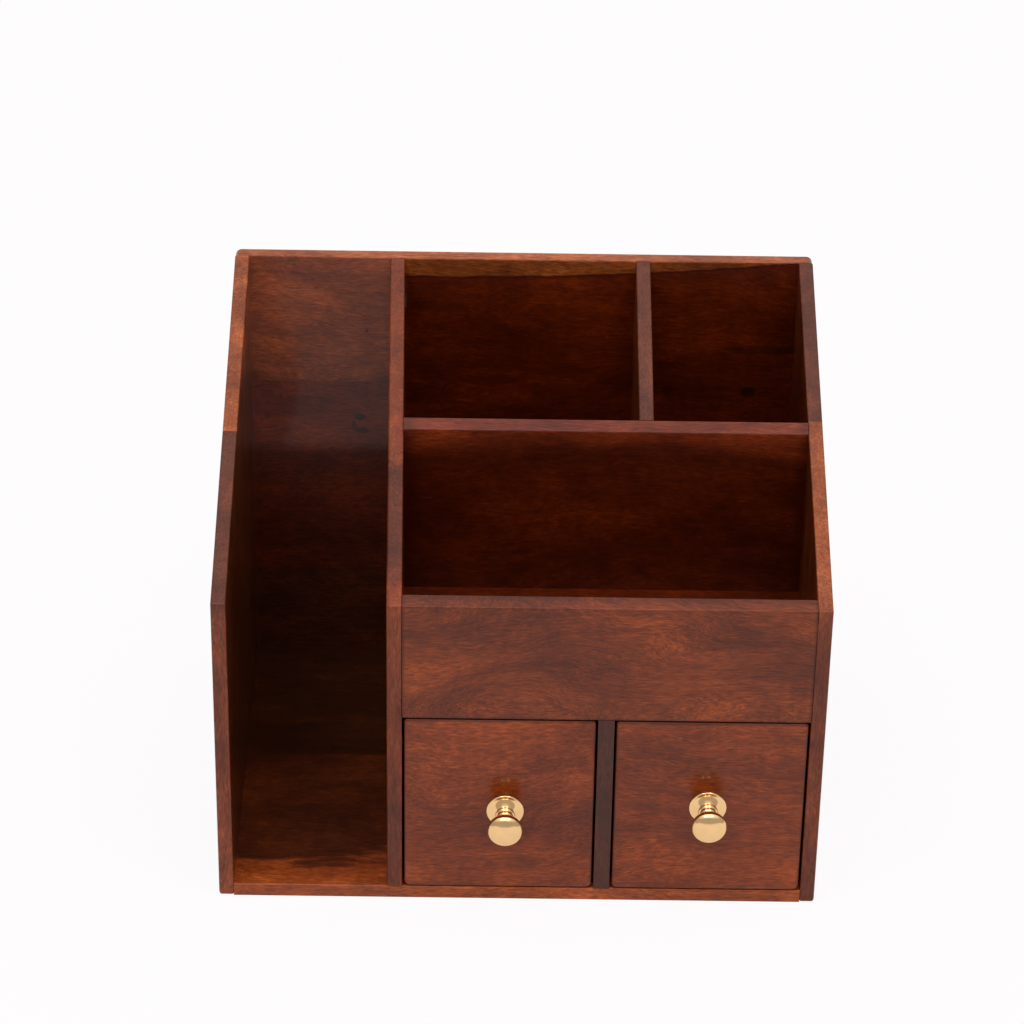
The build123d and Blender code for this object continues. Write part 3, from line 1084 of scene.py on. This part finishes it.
@dataclass
class Studio:
    """Camera, white floor and the soft lamps of a product table.

    The camera's values come from a fit to the photograph's corners, and the
    focal length is in pixels of its 1024-pixel frame.
    """

    frame_pixels: float = 1024.0
    focal_pixels: float = 3797.5
    pitch: float = 31.56
    yaw: float = 0.42
    roll: float = 0.98
    aim: Point = (-0.00491, 0.0, 0.16281)
    distance: float = 1.96102
    sensor: float = 36.0
    far_clip: float = 100.0
    floor_size: float = 30.0
    floor_drop: float = 0.0002
    floor_colour: Colour = (0.80, 0.80, 0.80)
    air_colour: Colour = (1.0, 0.985, 0.99)
    floor_white: float = 0.93
    mirror_white: float = 0.6
    horizon: float = 0.50
    zenith: float = 1.2
    horizon_rise: float = 0.4
    zenith_rise: float = 0.9
    lamps: tuple[SoftBox, ...] = (
        SoftBox("wide_soft_box", (0.0, -0.95, 1.75), (0.0, -0.95, 0.0), (1.8, 1.6), 9.0),
        SoftBox("left_lamp", (-0.5, -0.5, 1.6), (0.0, 0.0, 0.1), (0.24, 0.24), 2.6),
        SoftBox("right_lamp", (0.5, -0.5, 1.6), (0.0, 0.0, 0.1), (0.24, 0.24), 2.6),
    )

    def camera(self) -> None:
        """Create the camera and make it the scene's."""
        pitch, yaw, roll = (math.radians(angle) for angle in (self.pitch, self.yaw, self.roll))
        ahead = Vector((math.sin(yaw) * math.cos(pitch), math.cos(yaw) * math.cos(pitch), -math.sin(pitch)))
        right = Vector((math.cos(yaw), -math.sin(yaw), 0.0))
        up = right.cross(ahead)
        turned_right = right * math.cos(roll) + up * math.sin(roll)
        turned_up = up * math.cos(roll) - right * math.sin(roll)
        data = bpy.data.cameras.new("photo_camera")
        data.sensor_width = self.sensor
        data.lens = self.focal_pixels * self.sensor / self.frame_pixels
        data.clip_end = self.far_clip
        camera = bpy.data.objects.new("photo_camera", data)
        bpy.context.scene.collection.objects.link(camera)
        place = Vector(self.aim) - ahead * self.distance
        turn = Matrix((turned_right, turned_up, -ahead)).transposed().to_4x4()
        camera.matrix_world = Matrix.Translation(place) @ turn
        bpy.context.scene.camera = camera

    def floor(self) -> None:
        """A wide floor that the camera and mirrors see as white, with a trace of the shadow."""
        shape = bmesh.new()
        bmesh.ops.create_grid(shape, x_segments=1, y_segments=1, size=self.floor_size / 2)
        bmesh.ops.translate(shape, verts=shape.verts, vec=(0, 0, -self.floor_drop))
        graph = Graph("white_floor")
        graph.set(Base_Color=(*self.floor_colour, 1.0), Roughness=0.9)
        rays = graph.tree.nodes.new("ShaderNodeLightPath")
        seen = Wire(graph, rays.outputs["Is Camera Ray"])
        glossy = Wire(graph, rays.outputs["Is Glossy Ray"])
        mirrored = glossy + Wire(graph, rays.outputs["Is Transmission Ray"])
        glow = graph.node("ShaderNodeEmission", {}, {"Color": (*self.air_colour, 1.0), "Strength": 1.0})
        blend = graph.tree.nodes.new("ShaderNodeMixShader")
        graph.plug(blend.inputs[0], (seen * self.floor_white + mirrored * self.mirror_white).clamp())
        graph.tree.links.new(graph.shader.outputs["BSDF"], blend.inputs[1])
        graph.plug(blend.inputs[2], glow)
        graph.tree.links.new(blend.outputs[0], graph.output.inputs["Surface"])
        object_of(shape, "floor", graph.material)

    def world(self) -> None:
        """Pale air, dim at the horizon and bright overhead; seen directly it is white."""
        world = bpy.data.worlds.new("studio_air")
        world.use_nodes = True
        tree = world.node_tree
        background = tree.nodes["Background"]
        place = tree.nodes.new("ShaderNodeTexCoord")
        parts = tree.nodes.new("ShaderNodeSeparateXYZ")
        tree.links.new(place.outputs["Generated"], parts.inputs[0])
        ramp = tree.nodes.new("ShaderNodeMapRange")
        ramp.interpolation_type = "SMOOTHSTEP"
        tree.links.new(parts.outputs["Z"], ramp.inputs["Value"])
        values = (self.horizon_rise, self.zenith_rise, self.horizon, self.zenith)
        for number, value in enumerate(values, start=1):
            ramp.inputs[number].default_value = value
        rays = tree.nodes.new("ShaderNodeLightPath")
        white = tree.nodes.new("ShaderNodeMath")
        white.operation = "MAXIMUM"
        tree.links.new(ramp.outputs[0], white.inputs[0])
        tree.links.new(rays.outputs["Is Camera Ray"], white.inputs[1])
        background.inputs["Color"].default_value = (*self.air_colour, 1.0)
        tree.links.new(white.outputs[0], background.inputs["Strength"])
        bpy.context.scene.world = world

    def build(self) -> None:
        """Set up everything around the object."""
        self.camera()
        self.floor()
        self.world()
        for lamp in self.lamps:
            lamp.build()
        bpy.context.scene.view_settings.view_transform = "Standard"


def main() -> None:
    """Build the studio and the object, piece by piece."""
    logging.basicConfig(level=logging.INFO, format="%(name)s: %(message)s")
    Studio().build()
    Case().build()
    Drawer("left", 21.4).build()
    Drawer("right", 33.9).build()


if __name__ == "__main__":
    main()
